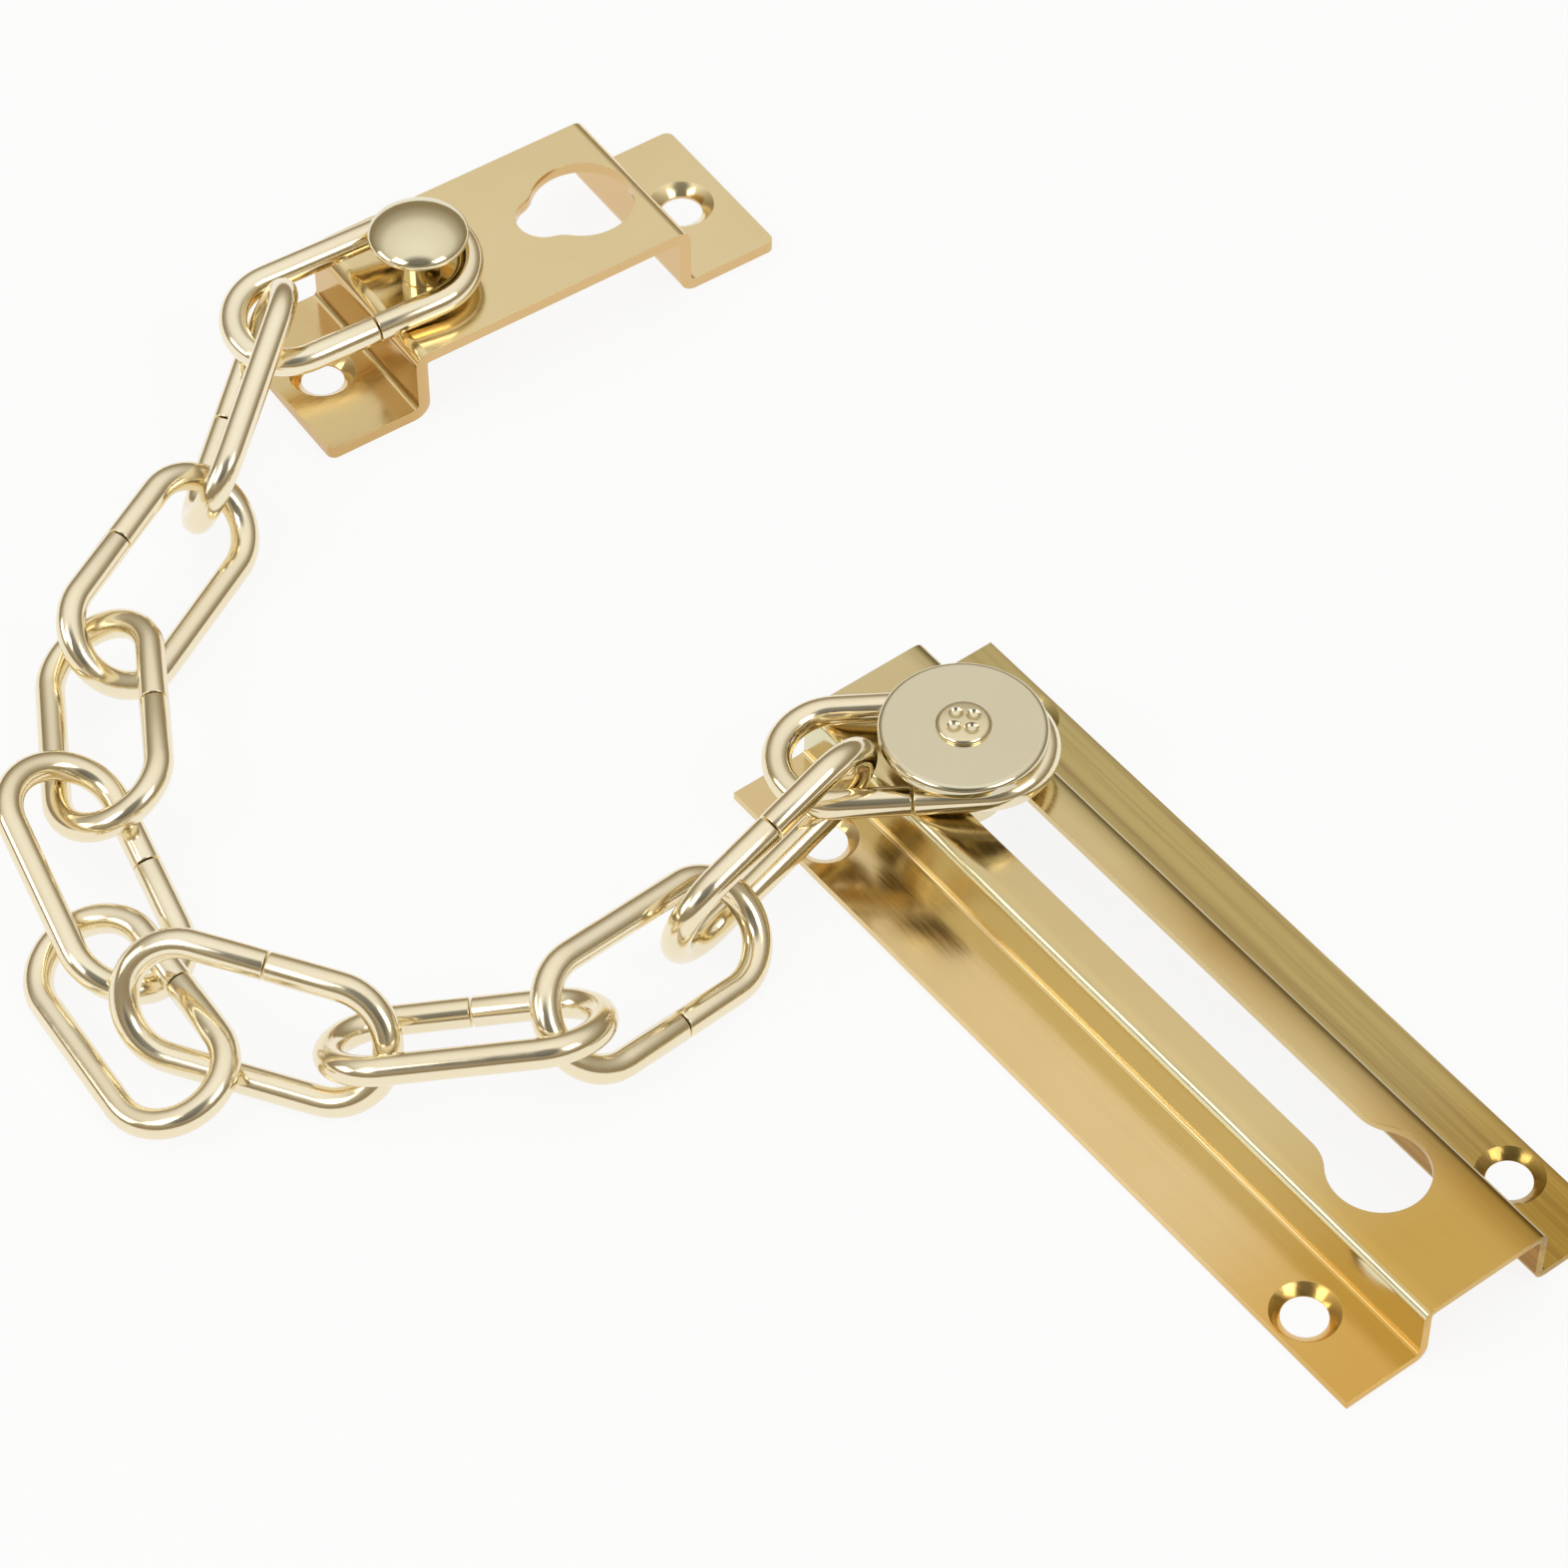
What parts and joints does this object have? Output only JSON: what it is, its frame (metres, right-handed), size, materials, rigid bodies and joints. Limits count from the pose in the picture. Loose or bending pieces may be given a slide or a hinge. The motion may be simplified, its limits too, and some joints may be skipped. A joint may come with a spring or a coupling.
{
  "type": "door chain",
  "caption": "Door chain: slotted track plate with a keyhole end and a sliding button, a chain of oval wire links, and a bridge-shaped keeper with a stud and a parking keyhole.",
  "frame": {"origin": "centre of the track's four screw holes, on the plane of its back", "axes": "+X along the slot from the slider's end to the keyhole, +Z away from the door, +Y across the track"},
  "size_m": [0.1527, 0.1079, 0.0161],
  "materials": {
    "track_brass": "satin",
    "slider_brass": "polished",
    "chain_brass": "polished",
    "keeper_brass": "satin"
  },
  "bodies": {
    "track": {"track_plate": "track_brass"},
    "slider": {"slider_button": "slider_brass", "slider_rivet": "slider_brass"},
    "link_11": {"link_11": "chain_brass"},
    "link_10": {"link_10": "chain_brass"},
    "link_09": {"link_09": "chain_brass"},
    "link_08": {"link_08": "chain_brass"},
    "link_07": {"link_07": "chain_brass"},
    "link_06": {"link_06": "chain_brass"},
    "link_05": {"link_05": "chain_brass"},
    "link_04": {"link_04": "chain_brass"},
    "link_03": {"link_03": "chain_brass"},
    "link_02": {"link_02": "chain_brass"},
    "link_01": {"link_01": "chain_brass"},
    "keeper": {"keeper_bracket": "keeper_brass", "keeper_stud": "keeper_brass"}
  },
  "joints": [
    {"name": "slider_slide", "type": "slide", "parent": "track", "child": "slider", "axis": [1, 0, 0], "range_m": [0, 0.0535]},
    {"name": "link_11_on_slider", "type": "hinge", "parent": "slider", "child": "link_11", "pos_m": [-0.0265, 0, 0.00815], "axis": [0, 0, 1], "range_deg": [-8, 34]},
    {"name": "link_10_on_link_11", "type": "hinge", "parent": "link_11", "child": "link_10", "pos_m": [-0.03087, -0.00962, 0.00592], "axis": [0, 0, 1], "range_deg": [-8, 40]},
    {"name": "link_09_on_link_10", "type": "hinge", "parent": "link_10", "child": "link_09", "pos_m": [-0.02812, -0.02465, 0.00309], "axis": [0, 0, -1], "range_deg": [-5, 40]},
    {"name": "link_08_on_link_09", "type": "hinge", "parent": "link_09", "child": "link_08", "pos_m": [-0.02343, -0.0452, 0.00781], "axis": [0, 0, 1], "range_deg": [-34, 40]},
    {"name": "link_07_on_link_08", "type": "hinge", "parent": "link_08", "child": "link_07", "pos_m": [-0.03242, -0.0563, 0.00605], "axis": [0, 0, -1], "range_deg": [-40, 22]},
    {"name": "link_06_on_link_07", "type": "hinge", "parent": "link_07", "child": "link_06", "pos_m": [-0.04342, -0.06652, 0.00328], "axis": [0, 0, 1], "range_deg": [-38, 16]},
    {"name": "link_05_on_link_06", "type": "hinge", "parent": "link_06", "child": "link_05", "pos_m": [-0.05906, -0.07049, 0.00402], "axis": [0, 0, 1], "range_deg": [-22, 2]},
    {"name": "link_04_on_link_05", "type": "hinge", "parent": "link_05", "child": "link_04", "pos_m": [-0.06593, -0.06179, 0.0052], "axis": [0, 0, -1], "range_deg": [-38, 2]},
    {"name": "link_03_on_link_04", "type": "hinge", "parent": "link_04", "child": "link_03", "pos_m": [-0.08545, -0.05199, 0.0058], "axis": [0, 0, 1], "range_deg": [-25, 36]},
    {"name": "link_02_on_link_03", "type": "hinge", "parent": "link_03", "child": "link_02", "pos_m": [-0.09199, -0.03328, 0.00674], "axis": [0, 0, -1], "range_deg": [-28, 25]},
    {"name": "link_01_on_link_02", "type": "hinge", "parent": "link_02", "child": "link_01", "pos_m": [-0.10563, -0.01728, 0.0084], "axis": [0, 0, -1], "range_deg": [-40, 40]},
    {"name": "keeper_on_link_01", "type": "hinge", "parent": "link_01", "child": "keeper", "pos_m": [-0.10278, -0.00263, 0.0102], "axis": [0, 0, 1], "range_deg": [-10, 45]}
  ]
}
